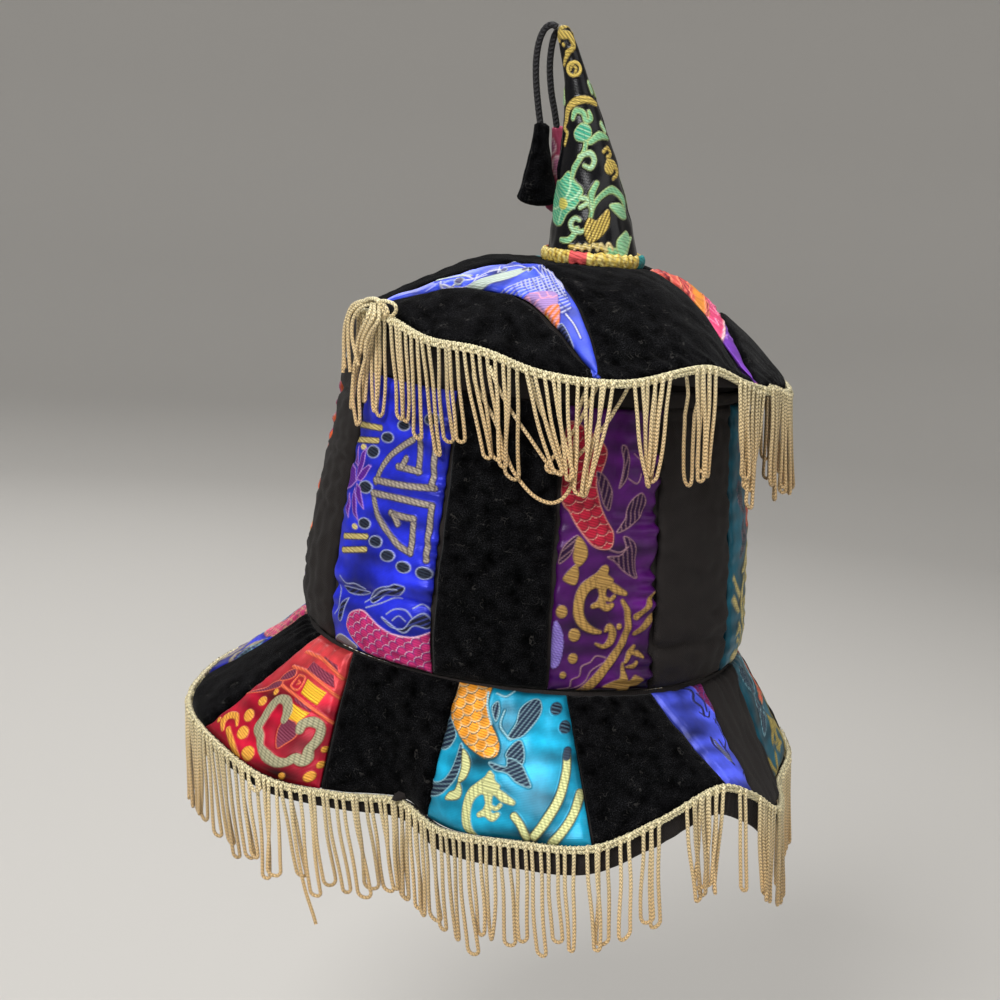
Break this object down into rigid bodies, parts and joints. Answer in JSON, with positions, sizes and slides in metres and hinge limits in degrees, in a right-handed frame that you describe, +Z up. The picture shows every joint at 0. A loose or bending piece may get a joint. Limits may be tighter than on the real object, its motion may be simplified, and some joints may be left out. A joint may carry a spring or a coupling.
{
  "type": "jester hat",
  "caption": "Patchwork jester hat with a padded bucket crown, puffed dome, ruffled brim, looped fringes and a soft spire with stuffed drops on cords.",
  "frame": {"origin": "centre of the head opening, on the hat's axis, at the seam between side wall and brim", "axes": "+Z up along the hat's axis towards the spire, -Y the front, where the turquoise brim gore is, +X to the right seen from the front"},
  "size_m": [0.2814, 0.2828, 0.3697],
  "materials": {
    "black_velvet": "deep matte pile with a soft sheen at grazing angles",
    "black_cotton": "matte plain weave, slightly creased",
    "lining_cotton": "matte plain weave",
    "royal_blue_brocade": "satin ground with raised gold, silver and navy threads",
    "purple_brocade": "satin ground with raised gold and red threads",
    "teal_brocade": "satin ground with raised olive gold threads",
    "crimson_brocade": "satin ground with raised gold and maroon threads",
    "turquoise_brocade": "satin ground with raised pale yellow and navy threads",
    "violet_blue_brocade": "satin ground with raised purple and dark threads",
    "orange_brocade": "satin ground with raised black, pink and purple threads",
    "black_satin_brocade": "glossy black satin with raised green and gold threads",
    "gold_piping": "gold brocade piping",
    "cream_fringe": "shiny rayon chain-stitch loops",
    "black_cord": "braided cord",
    "rose_brocade": "satin brocade"
  },
  "bodies": {
    "root": {"side_strip_01_cotton": "black_cotton", "side_strip_02_blue": "royal_blue_brocade", "side_strip_03_velvet": "black_velvet", "side_strip_04_purple": "purple_brocade", "side_strip_05_cotton": "black_cotton", "side_strip_06_teal": "teal_brocade", "side_strip_07_velvet": "black_velvet", "side_strip_08_red": "crimson_brocade", "side_strip_09_cotton": "black_cotton", "side_strip_10_turquoise": "turquoise_brocade", "side_strip_11_velvet": "black_velvet", "side_strip_12_orange": "orange_brocade", "side_band": "black_cotton", "side_lining": "lining_cotton", "crown_gore_1": "black_velvet", "crown_crescent_1": "royal_blue_brocade", "crown_puff_1": "black_velvet", "crown_gore_2": "black_velvet", "crown_crescent_2": "orange_brocade", "crown_puff_2": "black_velvet", "crown_gore_3": "black_velvet", "crown_crescent_3": "teal_brocade", "crown_puff_3": "black_velvet", "crown_lining": "lining_cotton", "brim_gore_01_velvet": "black_velvet", "brim_gore_02_red": "crimson_brocade", "brim_gore_03_velvet": "black_velvet", "brim_gore_04_turquoise": "turquoise_brocade", "brim_gore_05_velvet": "black_velvet", "brim_gore_06_violet": "violet_blue_brocade", "brim_gore_07_cotton": "black_cotton", "brim_gore_08_teal": "teal_brocade", "brim_gore_09_velvet": "black_velvet", "brim_gore_10_orange": "orange_brocade", "brim_gore_11_cotton": "black_cotton", "brim_gore_12_purple": "purple_brocade", "brim_gore_13_velvet": "black_velvet", "brim_gore_14_red": "crimson_brocade", "brim_gore_15_velvet": "black_velvet", "brim_gore_16_blue": "royal_blue_brocade", "brim_lining_1": "lining_cotton", "brim_lining_2": "lining_cotton", "brim_lining_3": "lining_cotton", "brim_lining_4": "lining_cotton", "brim_facing": "lining_cotton", "upper_fringe": "cream_fringe", "lower_fringe": "cream_fringe", "spire": "black_satin_brocade", "spire_piping": "gold_piping", "cord_left": "black_cord", "cord_right": "black_cord", "bell_velvet": "black_velvet", "bell_brocade": "rose_brocade"}
  },
  "joints": []
}
